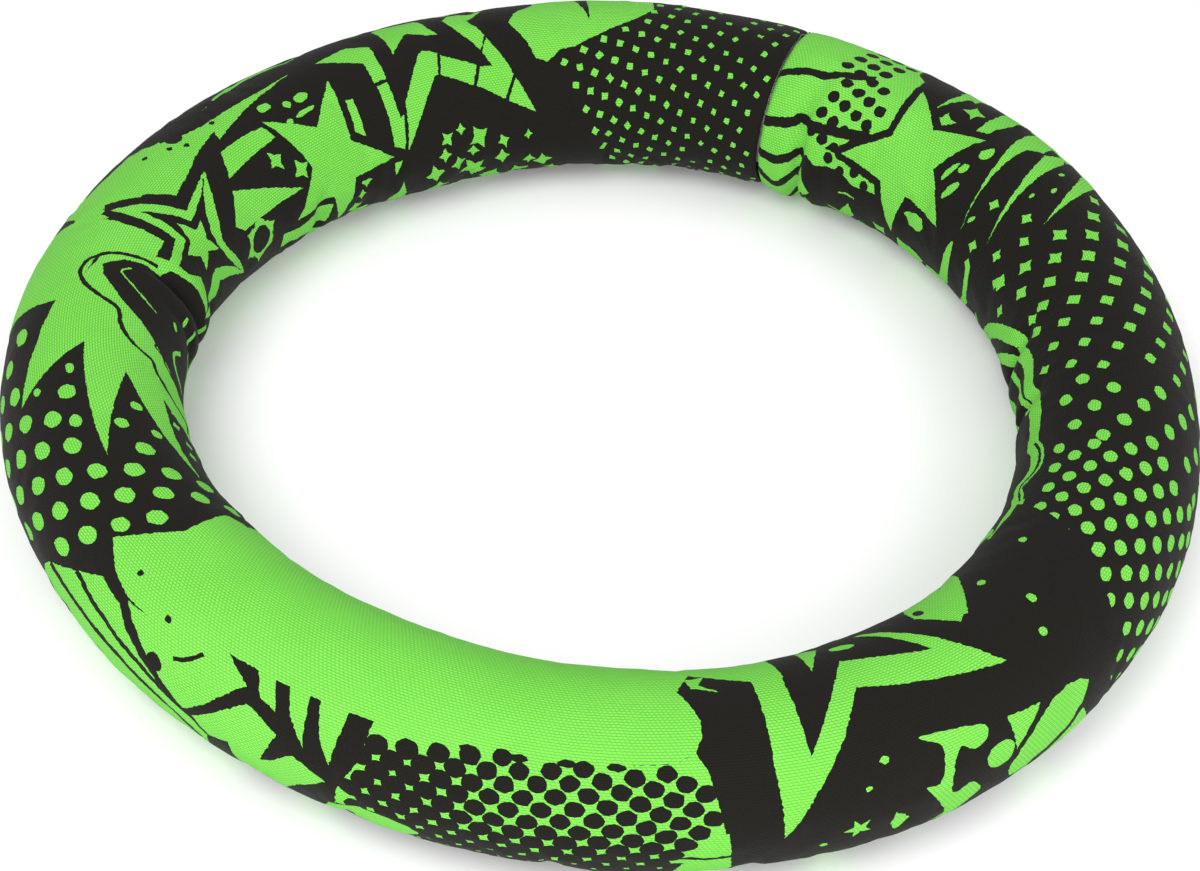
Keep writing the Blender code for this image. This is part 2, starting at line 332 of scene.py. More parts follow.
    for x, y, rx, ry, t in (
        (191.3, 97.3, 1.2, 2.2, 0.2), (195.3, 96.4, 1.1, 1.6, 0), (203.5, 89, 1.5, 1.1, 0.4), (203.8, 93.5, 1.3, 1.8, 0.1),
        (211.1, 86.6, 2.5, 1, 0.5), (212.7, 90.3, 1.4, 1.2, 0), (216.4, 83.8, 1.2, 1, 0), (220.8, 85.4, 1.6, 1.1, 0.6),
        (217.4, 92.9, 1.5, 1.9, 0.2), (221.8, 89.4, 1.1, 1.5, 0), (224.6, 94.4, 1.4, 2.3, 0.3), (198, 102, 1.2, 2.6, 0.4),
        (206, 102, 1, 3, -0.3), (247.4, 89.1, 1.1, 1.5, 0), (248.6, 92.9, 1.2, 1, 0), (249.3, 97.9, 1.5, 1.9, 0.3),
        (188, 103, 1.3, 2, 0), (222, 101, 1.5, 2.6, 0.2), (196, 88.5, 0.9, 1.1, 0),
    ):
        diamond(x, y, 1.3 * max(rx, ry), G, 0.5, t)
    star_at(212, 96.6, 4.1, 20, 0.45)
    shape([(234.9, 87.9), (237.1, 87.9), (237.1, 91.9)], G)
    shape([(234.3, 94.4), (238.6, 103.5), (240, top), (228, top), (230.5, 104.4)], G)
    shape([(243, 100), (251, 103), (262, 101), (272, 104), (270, top), (244, top)], G)

    # black bar, blobs and the green strips above the second star
    shape([(240, 36), (252, 18), (262, 30), (270, 10), (280, 30), (296, 18), (298, 34), (286, 38), (276, 34), (262, 38), (250, 34)], G)
    shape([(244, 50), (260, 48.5), (273.3, 53.4), (272.2, 56.8), (262, 56.3), (252, 55.4), (244, 54.6)], K)
    shape([(244.4, 49.6), (256, 46.6), (262, 47.4), (273, 52.4), (260.6, 48.9)], G)
    for k, x in enumerate((269.5, 274, 278.5, 283, 288, 292.5)):
        shape([(x - 1.6, 54), (x - 0.2, 45 - (k % 2) * 4), (x + 1.8, 53)], K)
    shape([(252, 56.6), (260, 58.5), (269.5, 60.7), (279.2, 63.2), (277.9, 60.5), (285.8, 62.3), (293.3, 64.8), (300.1, 66), (302, 62.9), (305.4, 56.6),
           (309.8, 51), (312.3, 46.6), (313, 20), (318, low), (336, low), (334, 20), (344, 6), (350, 26), (360, 8), (362, 30), (352, 50), (350, 62),
           (343, 66), (336, 62), (330, 57), (325, 58), (322, 64), (321.7, 70.4), (314.2, 69.8), (313.3, 59.8), (313.3, 51), (308, 40), (300, 44),
           (290, 47), (285, 55), (278, 57), (262, 57.6)], G)
    shape([(286, 52), (296, 48), (313, 47), (313, 56), (304, 60), (292, 60)], G)
    shape([(275, 52.7), (281.7, 53.2), (281, 55.6), (274.3, 55.6)], K)
    disc(284.3, 54.8, 1.9, K)
    for x, y in ((287.6, 56.3), (284.9, 58.8), (275.8, 58.2), (292, 53)):
        disc(x, y, 0.7, K)
    # green inside the spikes, from the outer side up to the curled form
    shape([(312.3, 46.6), (313.3, 59.8), (314.2, 69.8), (321.7, 70.4), (322.3, 64.8), (323.3, 59.8), (325.8, 56.6), (328.9, 55.7), (332.6, 57.3), (336.4, 61),
           (339.7, 65.4), (344.1, 66), (347.9, 67.9), (350.4, 70.4), (351.9, 73.5), (354.8, 74.1), (357.9, 76.3), (361, 80), (366, 86), (374, 86), (371.6, 83),
           (369.1, 78.8), (363.5, 75.1), (391.6, 73.8), (359.1, 66.8), (382.9, 57.1), (350.5, 59), (360.9, 43.2), (337, 52), (334.5, 30), (322, 40)], G)

    # under the outside of the far side: stars, diamonds and dots
    star_at(262, 4, 13, 35, 0.45, G, 2)
    star_at(300, 12, 12, 100, 0.45, G, 2)
    lattice((324, 0), (4.5, 1.2), (-1.1, 4.6), [(316, low), (334, low), (334, 26), (326, 36), (315, 28)], lambda x, y: disc(x, y, 1.5, K))
    lattice((220, -6), (5.0, 1.2), (-1.4, 5.2), [(198, low), (246, low), (238, -1), (226, 2), (204, 6), (196, 4)], lambda x, y: diamond(x, y, 1.7, K if y > 4 else G, 0.7, 0.4))

    # the second star
    star(
        [(246.2, 63.3), (267.8, 65.4), (271.4, 90.6), (254.6, 99.8), (237.2, 86.3)],
        [(256.6, 72.5), (263.0, 80.0), (258.6, 89.3), (250.4, 87.0), (249.2, 78.1)],
        G, 1.9,
    )
    for pts in (
        [(268.9, 66.3), (275, 65.7), (282, 65.7), (286.4, 71.6), (273.9, 70.4), (267.9, 70)],
        [(267.9, 83.2), (288.3, 74), (293.8, 80.4), (291, 83)],
        [(258.6, 91.6), (262.6, 91.3), (270.8, 93.2), (276, 92.6), (276.7, 96.6), (258.9, 98.5)],
        [(274, 103), (290, 101), (306, 104), (318, 100.5), (330, 103), (334, top), (272, top)],
    ):
        shape(pts, G)
    diamond(272, 74.4, 2.6, G, 0.5, 0.3)
    diamond(266.4, 79, 2.8, G, 0.5, 0.3)
    for k in range(6):
        a = 0.4 + k * math.pi / 3
        diamond(286 + 4.4 * math.cos(a), 88.2 + 4.4 * math.sin(a), 2.0, G, 0.5, a)
    disc(286, 88.2, 4.5, G)
    disc(286, 88.2, 3.5, K)
    disc(279.2, 94, 3.0, K)
    disc(296, 101, 2.4, K)
    disc(312, 103, 3.2, K)
    for x, y, rx, ry in ((255, 64.4, 2, 1.2), (259.2, 64.4, 1.1, 1.1), (264.2, 62.4, 1.8, 1.2), (256.7, 68, 3, 0.6), (262, 68.6, 1, 0.8)):
        disc(x, y, rx, G, ry, 0.1)

    # the third star: a small one inside a broken outline
    star(
        [(287.2, 65.6), (309.8, 53.4), (325.2, 72.8), (321.6, 89.6), (290.6, 96)],
        [(302.0, 68.0), (312.6, 70.2), (319.2, 80), (308, 91), (295.6, 80)],
        K,
    )
    stroke([(289.6, 66), (294.6, 66.6), (302.2, 67.6), (305.6, 60.4), (309.4, 53.8)], 2.2, K, curved=False)
    stroke([(310.6, 54.4), (312.6, 60), (313.4, 70.4), (322.8, 70.8)], 2.0, K, curved=False)
    shape([(289.2, 66.5), (295.5, 68.2), (302.6, 69.9), (306.6, 61), (310.1, 55.8), (310.8, 60), (311.6, 71.4), (317, 72.6), (322.5, 72.2), (323.3, 76.6),
           (318.4, 81), (321, 88), (317.8, 87.4), (314.2, 81), (320.8, 75.2), (314.9, 74.6), (309.8, 73.4), (309.3, 69), (308.9, 62), (306.9, 66.2),
           (304.2, 71.9), (300.6, 71.4), (295.4, 69.7)], G)
    shape([(289.2, 66.5), (294.4, 69.6), (299.2, 73.4), (302, 77.2), (302.2, 80), (300.9, 84), (298, 88.4), (293.2, 94), (296.2, 87.6), (299.2, 83), (300, 80), (298.8, 78), (294.6, 72.6)], G)
    shape([(293.2, 93.8), (298.3, 88.6), (303, 85.4), (306.9, 83.6), (310, 84.8), (313.4, 87.2), (321.4, 88.4), (315.2, 90.6), (309.4, 89.6), (306.4, 87.2), (301, 89.4)], G)
    star(
        [(302, 73.5), (307.3, 69.9), (312.9, 75.7), (310.4, 81.8), (302.7, 80.8)],
        [(305.3, 74), (309.2, 74.6), (309.6, 78.2), (306.4, 79.2), (304.4, 77)],
        G,
    )

    # the curled form on the inner side
    shape([(316, 84), (322, 60), (330, 57), (350, 68), (372, 80), (378, 90), (366, 96), (340, 92)], G)
    shape([(320.6, 74), (322.9, 72.6), (324.3, 64), (326.8, 60), (330, 61), (334, 63.9), (338.4, 67.6), (342.2, 71.8), (346.8, 75.8), (351.4, 80), (356.2, 84.6), (361.8, 89.4),
           (364, 95), (354, 99), (344, 98), (334, 95.6), (325, 93), (319, 91), (318.6, 82)], K)
    stroke([(321.9, 71), (322.5, 64.8), (323.5, 59.8), (325.9, 56.7), (328.9, 55.8), (332.6, 57.4), (336.4, 61.1), (339.7, 65.4), (344.1, 66.2), (347.9, 68),
            (350.4, 70.6), (351.9, 73.6), (354.8, 74.3), (357.9, 76.4), (361.4, 80.1), (364, 84), (369, 88)], 0.95, K)
    stroke([(344.5, 76.8), (346.2, 74.4), (347.6, 76.6), (350.2, 77.8), (353, 82)], 0.6, K)
    stroke([(326.2, 66), (328.2, 64.4), (332, 68.5), (335.6, 74)], 0.45, G)
    stroke([(339.5, 83.6), (343, 80.8), (347.4, 83), (350, 87)], 1.0, G)
    stroke([(328, 86.4), (334, 88.2), (341, 91.4), (347, 91)], 0.9, G)
    disc(334.6, 79.6, 1.2, G, 0.5, 0.6)
    disc(329.6, 82.4, 1.3, G, 0.5, 0.2)
    stroke([(318, 92), (328, 95.5), (340, 99), (352, 96), (362, 89), (372, 88)], 1.6, G)
    shape(smooth([(340, 103), (352, 100), (364, 94), (378, 92), (390, 96), (398, 104), (396, top), (338, top)]), G)
    for x, y, r in ((352, 105, 2.4), (364, 101, 2.8), (377, 99, 2.3), (386, 104, 2.8)):
        disc(x, y, r, K)

    # ovals on black below the spikes
    field = [(334.5, 30), (337, 52), (360.9, 43.2), (350.5, 59), (382.9, 57.1), (359.1, 66.8), (391.6, 73.8), (363.5, 75.1), (369.1, 78.8), (371.6, 83),
             (376, 90), (392, 95), (407, 90), (407, 79), (411, 74.1), (406.6, 71.6), (408.2, 63.5), (408.2, 59.8), (403.5, 53.5), (399.8, 48.8), (404.8, 45),
             (410, 42.9), (416.3, 42.6), (403.5, 41.9), (397.6, 37.9), (390, 32.9), (388.5, 30.7), (384, 12), (390, low), (352, low), (350, 6), (340, 10), (344, 24)]
    shape(field, K)
    inner = [(340, low), (341, 50), (356, 47), (352, 57), (379, 55), (384, 58), (364, 66.5), (372, 68.6), (391, 71.6), (397, 76), (404, 76), (404, 60), (398, 50),
             (396, 46), (395, 40), (386, 34), (382, 12), (386, low)]

    def oval(x, y):
        # an oval beside the green spikes is smaller, and none runs into them
        size = min(2.15, to_edge(x, y, field) - 0.55)
        if size > 0.9:
            disc(x, y, size, G, size * 0.81, 0.5)

    lattice((381.8, 47.5), (5.09, -4.38), (3.35, 6.36), inner, oval)
    disc(371.3, 54.3, 1.7, G, 1.3, 0.1)
    disc(357.3, 55.7, 1.5, G, 0.9, 0.1)
    for x, y in ((366.5, 77.6), (371.4, 76.8), (376, 79.4), (381, 78), (386.5, 80.4), (374.5, 84), (380, 84.8), (390, 86), (396, 81.5), (400.4, 85), (385, 89)):
        diamond(x, y, 1.3, G, 0.7, 0.4)

    # green with black lines, the outer side before the plain patch
    shape([(388.5, 30.7), (390, 32.9), (397.6, 37.9), (403.5, 41.9), (416.3, 42.6), (410, 42.9), (404.8, 45), (399.8, 48.8), (403.5, 53.5), (408.2, 59.8),
           (408.2, 63.5), (406.6, 71.6), (410.6, 74.1), (409, 79), (413, 84), (424, 86), (430, 94), (440, 90), (452, 96), (466, 88), (480, 93), (494, 85),
           (504, 88), (512, 78), (538, 77), (537.8, 71), (538.4, 67.9), (538.1, 64), (531.8, 64.1), (519.6, 68.2), (516.5, 62.9), (518.7, 59.1), (519.9, 56),
           (519.9, 52.9), (518.4, 49.8), (515.3, 47.9), (500, 46.8), (457, 46.2), (453, 46.2), (462, 36), (462, 16), (448, 8), (440, 14), (426, 6), (410, 14),
           (398, low), (390, low), (384, 12)], G)
    stroke([(390.4, 33), (405, 30.6), (424, 26.9), (431, 22.4)], 1.3, K)
    stroke([(397.6, 38), (410, 34.2), (424, 30.7), (431, 28.2)], 1.3, K)
    stroke([(388, 26), (402, 22), (418, 18), (428, 10)], 1.4, K)
    stroke([(386, 14), (396, 11), (408, 6), (414, -4)], 1.4, K)
    shape([(403.5, 41.9), (409.8, 40.4), (412.9, 37.3), (417.9, 34), (430, 28.2), (428, 29.9), (418, 36.4), (413.5, 40), (410, 43)], K)
    disc(420.8, 35.6, 1.9, K)
    shape([(428, 29.5), (433, 25.6), (431.5, 18), (440, 10), (452, 14), (460, 28), (462, 40), (461.6, 46.4), (433.8, 46.2), (439.4, 42.6), (437.4, 40.4), (432.4, 34)], K)
    shape([(430.2, 29.2), (433.4, 26.2), (438, 28), (438.5, 21.5), (441, 15), (446, 16), (449, 22), (451.3, 25.4), (456.9, 30.7), (450.6, 33.7), (446.3, 29.4),
           (444.4, 28.2), (447.2, 36.6), (440.6, 39.6), (433.4, 32.3)], G)
    shape([(439.7, 47.4), (442.4, 42), (446, 40.6), (443.4, 47.4)], G)
    shape([(446.2, 47.4), (448.6, 41.4), (452.2, 36.4), (450.6, 47.4)], G)
    shape([(452.4, 47.4), (454.6, 40), (457.2, 34.8), (457.6, 38), (458.4, 47.4)], G)
    stroke([(424.4, 39), (427, 40.6), (429.6, 43.4)], 0.9, K)
    for x, y in ((409.6, 48), (420, 44.8)):
        disc(x, y, 0.75, K)

    # black dots closing up under the plain patch
    shape([(463, 46.6), (500, 46.9), (515.3, 47.9), (518.4, 49.8), (520.4, 46), (521, 43), (522.4, 36), (523.4, 32), (515.3, 18.5), (517, 8), (506, low), (470, low),
           (462, 6), (458, 18), (459, 30), (462, 38)], G)
    hall = [(461, low), (459, 20), (460, 34), (463, 45), (480, 46.2), (500, 46.4), (515, 47.2), (519.6, 46), (523, 42), (522, 35), (516, 24), (513, 14), (508, low)]
    lattice(
        (512.3, 38.3), (2.12, 2.9), (5.31, 0.94), hall,
        lambda x, y: disc(x, y, 1.78 + 0.62 * max(ramp(-y, -36, -20), 0.6 * ramp(-x, -486, -472)), K, 1.66 + 0.55 * max(ramp(-y, -36, -20), 0.6 * ramp(-x, -486, -472))),
    )
    disc(464.8, 22.4, 8.2, G, 4.2, 0.05)
    for x, y in ((505, 46.9), (496.6, 46.8), (488.4, 46.6), (480, 46.4)):
        disc(x, y, 1.8, K, 0.75)

    # black ground with the forked bolt
    shape([(531.9, 47.3), (532.9, 31.8), (530, 20), (526, 14), (532, low), (592, low), (604, 20), (600, 31), (606, 49), (612, 60), (620, 76), (604, 79), (598, 90),
           (604, 100), (602, top), (560, top), (548, 96), (540, 88), (538, 78), (538, 64), (531.8, 64.1), (519.6, 68.2), (516.9, 62.9), (519.3, 59.1), (520.6, 56), (520.6, 52.4),
           (520.8, 44), (522.6, 36), (523.6, 30), (524.6, 22)], K)
    shape([(512.6, low), (514, 18), (516.4, 25), (520, 31), (523.4, 34), (524.6, 22), (527, 4), (531, low)], G)
    stroke([(514.6, 27.6), (519, 27), (524.4, 27.2)], 0.8, K)
    shape([(532.5, 31.2), (537.8, 39.8), (544, 48.5), (549.9, 57.6), (557.8, 55.4), (570.3, 52.3), (578.7, 50.3), (574.6, 56), (567.1, 65.4), (560.6, 72.6),
           (558.4, 73.2), (559.6, 71.6), (564, 65.4), (567.8, 59.4), (557.1, 62.9), (550.3, 64.9), (544, 56), (537.7, 46.6), (537.5, 59.8), (537.8, 67.9),
           (537.6, 76), (531.8, 78), (531.6, 64.1), (531.4, 47.3)], G)
    shape([(544, 64), (549, 72.3), (544.6, 74.8)], G)
    disc(553.4, 69.4, 2.8, G, 1.1, -0.2)
    shape([(518.5, 66.4), (522.6, 67.4), (521, 64.6), (524.4, 62.4), (519.4, 63.6)], G)
    for x, y, rx, ry in ((539.4, 26.3, 0.8, 0.7), (550.1, 43, 1.0, 0.8), (546.7, 38.2, 0.6, 0.5), (588.7, 50.7, 1, 1), (592.2, 57.1, 0.9, 1.1),
                         (589.4, 67.3, 1, 0.9), (605.6, 67.8, 0.9, 0.9)):
        disc(x, y, rx, G, ry)
    star_at(545, 29.4, 2.6, 40, 0.4)
    shape([(552.1, 24.8), (554.5, 27.5), (551.5, 31), (551, 27)], G)
    shape(smooth([(559.6, 19.8), (567.8, 25.4), (567.4, 29.1), (565.3, 30.7), (562.1, 30.1), (562.4, 36.6), (564.3, 40.1), (566.5, 38.2), (569.3, 39.1),
                  (569.6, 41.9), (563, 44), (556.8, 44.8), (560.3, 42.3), (560.9, 39.8), (559.6, 34.1), (557.1, 34.1), (559, 30.4), (561.8, 23.5)], parts=3), G)
    disc(571.8, 34, 2.9, G)
    shape([(575.3, 32.8), (581.4, 39.8), (574.1, 41)], G)
    shape(smooth([(574.3, 27.3), (576.5, 25), (587.1, 28.8), (593.3, 36.6), (584.6, 38.8), (575.9, 31.6)], parts=3), G)
    shape([(577.1, 61.9), (579.3, 63.2), (579.9, 62.6), (590.6, 74.6), (594.6, 81), (598, 92), (591, 98), (586, 90), (580, 84), (576, 78.5), (572.4, 73.5), (571.4, 69.1)], G)
    disc(573.8, 70.6, 1.3, K)
    disc(582, 82, 2.2, K)
    shape([(586, 76), (590, 84), (587, 86)], K)
    shape([(545, 90), (556, 84), (560, 92), (572, 98), (566, 104), (580, 108), (576, top), (552, top), (549, 100)], G)
    # under the outside of the near side: a star and rays
    star_at(562, 2, 12, 25, 0.45, G, 2)
    shape([(578, 22), (590, 8), (588, 24), (600, 14), (592, 30), (584, 24)], G)
    shape([(536, 20), (545, 4), (547, 16)], G)
    # inner side of the near side, behind the plain patch: bars and dots
    for k in range(9):
        x = 416 + 11.5 * k
        shape([(x, 90 + 3 * (k % 2)), (x + 5.5, 89 + 2 * (k % 3)), (x + 8.5, top), (x + 2, top)], K)
    lattice((470, 84), (4.4, -1.3), (1.2, 4.6), [(500, 78), (534, 80), (546, 92), (556, top), (512, top), (506, 92)], lambda x, y: disc(x, y, 1.3, K))


# ---------------------------------------------------------------- from the drawing to a flat mesh


def ragged(points, step=0.55, wander=0.15):
    """The outline cut into short runs with a slight waver, as a print has on knitted loops."""
    out = []
    for (x1, y1), (x2, y2) in zip(points, points[1:] + points[:1]):
        n = max(1, int(math.hypot(x2 - x1, y2 - y1) / step))
        for k in range(n):
            t = k / n
            out.append((x1 + (x2 - x1) * t + rng.uniform(-wander, wander), y1 + (y2 - y1) * t + rng.uniform(-wander, wander)))
    return out


def clip(points, axis, limit, keep_below):
    out = []
    for a, b in zip(points, points[1:] + points[:1]):
        ina, inb = ((p[axis] <= limit) == keep_below for p in (a, b))
        if ina:
            out.append(a)
        if ina != inb:
            t = (limit - a[axis]) / (b[axis] - a[axis])
            p = [a[0] + (b[0] - a[0]) * t, a[1] + (b[1] - a[1]) * t]
            p[axis] = limit
            out.append(tuple(p))
    return out


def inside(px, py, outline):
    """Which of the points lie in the outline."""
    hit = np.zeros(len(px), bool)
    pts = np.array(outline)
    nxt = np.roll(pts, -1, axis=0)
    for (x1, y1), (x2, y2) in zip(pts, nxt):
        if y1 == y2:
            continue
        cross = (y1 > py) != (y2 > py)
        hit ^= cross & (px < (x2 - x1) * (py - y1) / (y2 - y1) + x1)
    return hit


def flat_mesh():
    """Points (x, y), triangles and the ink of each triangle, over x END_SEAM..END_SEAM+AROUND and y V0..V1."""
    left, right = END_SEAM, END_SEAM + AROUND
    half = (left + right) / 2
    outlines = []
    for points, ink in art:
        cut = ragged(points)
        for axis, limit, below in ((0, left, False), (0, right, True), (1, V0, False), (1, V1, True)):
            cut = clip(cut, axis, limit, below) if cut else cut
        if len(cut) >= 3:
            outlines.append((cut, ink))
    xs = set(np.round(np.linspace(left, right, 311), 6))
    for centre in creases_x():
        xs |= set(np.round(np.linspace(centre - 7, centre + 7, 15), 6))
    xs |= {round(left + d, 6) for d in (0.35, 0.8, 1.4)} | {round(right - d, 6) for d in (0.35, 0.8, 1.4)} | {round(half, 6)}
    xs = sorted(x for x in xs if left <= x <= right)
    xs = [xs[0]] + [x for a, x in zip(xs, xs[1:]) if x - a > 0.2]
    xs[-1] = right
    ys = sorted(set(np.round(np.linspace(V0, V1, 61), 6)) | {round(V0 + d, 6) for d in (0.4, 0.9)} | {round(V1 - d, 6) for d in (0.4, 0.9)})
    i_half = min(range(len(xs)), key=lambda i: abs(xs[i] - half))
    xs[i_half] = half
    verts, edges = [], []
    ny = len(ys)
    for i, x in enumerate(xs):
        for j, y in enumerate(ys):
            dx = 0 if i in (0, len(xs) - 1, i_half) or i % 2 == 0 else 0
            verts.append((x + dx, y))
    for i in (0, i_half, len(xs) - 1):
        edges += [(i * ny + j, i * ny + j + 1) for j in range(ny - 1)]
    for i in range(len(xs) - 1):
        edges += [(i * ny, (i + 1) * ny), (i * ny + ny - 1, (i + 1) * ny + ny - 1)]
    for cut, _ in outlines:
        base = len(verts)
        verts += cut
        edges += [(base + k, base + (k + 1) % len(cut)) for k in range(len(cut))]
    found, _, faces, *_ = delaunay_2d_cdt([Vector(v) for v in verts], edges, [], 0, 1e-4)
    pts = np.array([tuple(v) for v in found])
    tris = []
    for f in faces:
        for k in range(1, len(f) - 1):
            tris.append((f[0], f[k], f[k + 1]))
    tris = np.array(tris)
    a, b, c = pts[tris[:, 0]], pts[tris[:, 1]], pts[tris[:, 2]]
    area = 0.5 * ((b - a)[:, 0] * (c - a)[:, 1] - (b - a)[:, 1] * (c - a)[:, 0])
    tris = np.where((area < 0)[:, None], tris[:, ::-1], tris)
    tris = tris[np.abs(area) > 1e-7]
    mid = pts[tris].mean(axis=1)
    ink = np.zeros(len(tris))
    for cut, value in outlines:
        arr = np.array(cut)
        (x1, y1), (x2, y2) = arr.min(0), arr.max(0)
        near = np.nonzero((mid[:, 0] >= x1) & (mid[:, 0] <= x2) & (mid[:, 1] >= y1) & (mid[:, 1] <= y2))[0]
        hit = near[inside(mid[near, 0], mid[near, 1], cut)]
        ink[hit] = value
    return pts, tris, ink


# ---------------------------------------------------------------- the sleeve's shape

CREASES = (  # x, y, length round the tube, depth, half width, lean: folds on the inner side
    (118.2, 89, 50, 1.9, 1.25, 0.0),
    (111.5, 95, 18, 0.6, 2.0, 0.20),
    (322.5, 86, 34, 1.7, 1.6, -0.10),
    (331.0, 84, 22, 0.5, 1.7, 0.12),
    (312.0, 94, 18, 0.5, 2.2, -0.1),
    (664.0, 90, 26, 1.0, 1.8, 0.10),
    (684.5, 90, 24, 1.1, 1.7, -0.12),
    (672.0, 95, 18, 0.6, 2.0, 0.05),
    (606.0, 92, 22, 0.7, 2.2, 0.15),
    (560.0, 93, 20, 0.6, 2.2, -0.1),
    (505.0, 94, 22, 0.7, 2.0, 0.08),
    (452.0, 93, 20, 0.7, 2.2, 0.14),
    (402.0, 92, 22, 0.8, 1.9, -0.12),
    (368.0, 92, 20, 0.7, 2.1, 0.10),
    (262.0, 95, 18, 0.6, 2.2, 0.10),
    (214.0, 96, 18, 0.6, 2.2, -0.12),
    (172.0, 95, 18, 0.5, 2.2, 0.08),
)


def creases_x():
    return [c[0] for c in CREASES]


def hoop_radius(theta):
    """The soft hoop isn't quite round."""
    return HOOP * (
        1
        + 0.01398 * np.cos(2 * theta)
        + 0.00484 * np.sin(2 * theta)
        - 0.01518 * np.cos(3 * theta)
        - 0.0006 * np.sin(3 * theta)
    )


SIM_X, SIM_Y = 264, 48  # the simulated cloth: points along the tube and round it


def simulate_cover():
    """The sleeve as cloth on a grid, blown up a little against its two sewn seams. Returns how far each point
    of the grid then stands over or under the others at its place round the tube, in mm."""
    xs, ys = END_SEAM + np.arange(SIM_X) * AROUND / SIM_X, V0 + np.arange(SIM_Y) * GIRTH / SIM_Y
    x, y = (a.reshape(-1) for a in np.meshgrid(xs, ys, indexing="ij"))
    noise = np.random.default_rng(5).normal(0, 0.06, len(x))
    theta, phi = x / HOOP, y / TUBE - math.pi / 2
    start = TUBE - 0.7 + noise + folds(x, y)
    rho, z = HOOP + start * np.cos(phi), start * np.sin(phi)
    points = np.stack([rho * np.cos(theta), rho * np.sin(theta), z], axis=1) * MM
    faces = [
        (i * SIM_Y + j, ((i + 1) % SIM_X) * SIM_Y + j, ((i + 1) % SIM_X) * SIM_Y + (j + 1) % SIM_Y, i * SIM_Y + (j + 1) % SIM_Y)
        for i in range(SIM_X)
        for j in range(SIM_Y)
    ]
    mesh = bpy.data.meshes.new("cover_cloth")
    mesh.from_pydata([tuple(p) for p in points], [], faces)
    obj = bpy.data.objects.new("cover_cloth", mesh)
    bpy.context.scene.collection.objects.link(obj)
    group = obj.vertex_groups.new(name="sewn")
    group.add([k for k in range(len(x)) if k % SIM_Y == 0 or k // SIM_Y == 0], 1.0, "REPLACE")
    cloth = obj.modifiers.new("cloth", "CLOTH")
    settings = cloth.settings
    settings.quality = 6
    settings.mass = 0.2
    settings.tension_stiffness = settings.compression_stiffness = 12
    settings.shear_stiffness = 4
    settings.bending_stiffness = 0.3
    settings.use_pressure = True
    settings.uniform_pressure_force = 4
    settings.shrink_min = -0.02
    settings.vertex_group_mass = "sewn"
    settings.effector_weights.gravity = 0
    cloth.point_cache.frame_start, cloth.point_cache.frame_end = 1, 20
    scene = bpy.context.scene
    for step in range(1, 21):
        scene.frame_set(step)
    done = obj.evaluated_get(bpy.context.evaluated_depsgraph_get()).data
    co = np.empty(len(done.vertices) * 3)
    done.vertices.foreach_get("co", co)
    co = co.reshape(-1, 3) / MM
    scene.frame_set(1)
    bpy.data.objects.remove(obj)
    bpy.data.meshes.remove(mesh)
    r = np.hypot(np.hypot(co[:, 0], co[:, 1]) - HOOP, co[:, 2])
    moved = (r - TUBE).reshape(SIM_X, SIM_Y)
    print("cloth: moved from", round(float(moved.min()), 2), "to", round(float(moved.max()), 2), "mm")
    # the hoop holds its own size, so only the cloth's unevenness is kept
    moved = moved - moved.mean(axis=0, keepdims=True)
    return np.clip(0.9 * moved, -0.8, 0.6)


cover = []


def simulated(x, y):
    """The simulated cloth's height at points of the strip."""
    if not cover:
        cover.append(simulate_cover())
    grid = cover[0]
    i = ((np.asarray(x) - END_SEAM) / AROUND * SIM_X) % SIM_X
    j = ((np.asarray(y) - V0) / GIRTH * SIM_Y) % SIM_Y
    i0, j0 = np.floor(i).astype(int), np.floor(j).astype(int)
    fi, fj = i - i0, j - j0
    fi, fj = fi * fi * (3 - 2 * fi), fj * fj * (3 - 2 * fj)
    i0, j0 = i0 % SIM_X, j0 % SIM_Y
    i1, j1 = (i0 + 1) % SIM_X, (j0 + 1) % SIM_Y
    return (grid[i0, j0] * (1 - fi) + grid[i1, j0] * fi) * (1 - fj) + (grid[i0, j1] * (1 - fi) + grid[i1, j1] * fi) * fj


def folds(x, y):
    """The folds on the inner side, where the bent sleeve is too long for the hoop, in mm."""
    d = np.zeros(np.broadcast(x, y).shape)
    for cx, cy, length, depth, width, lean in CREASES:
        dx = (x - cx + AROUND / 2) % AROUND - AROUND / 2 - lean * (y - cy) - 0.5 * np.sin((y - cy) / 4.1 + cx)
        dy = (y - cy + GIRTH / 2) % GIRTH - GIRTH / 2
        along = np.clip(1 - (dy / (length / 2)) ** 2, 0, None) ** 0.8
        d -= depth * along * np.exp(-((dx / width) ** 2))
        d += 0.30 * depth * along * (np.exp(-(((dx - 3.4 * width) / (2.2 * width)) ** 2)) + np.exp(-(((dx + 3.4 * width) / (2.2 * width)) ** 2)))
    return d


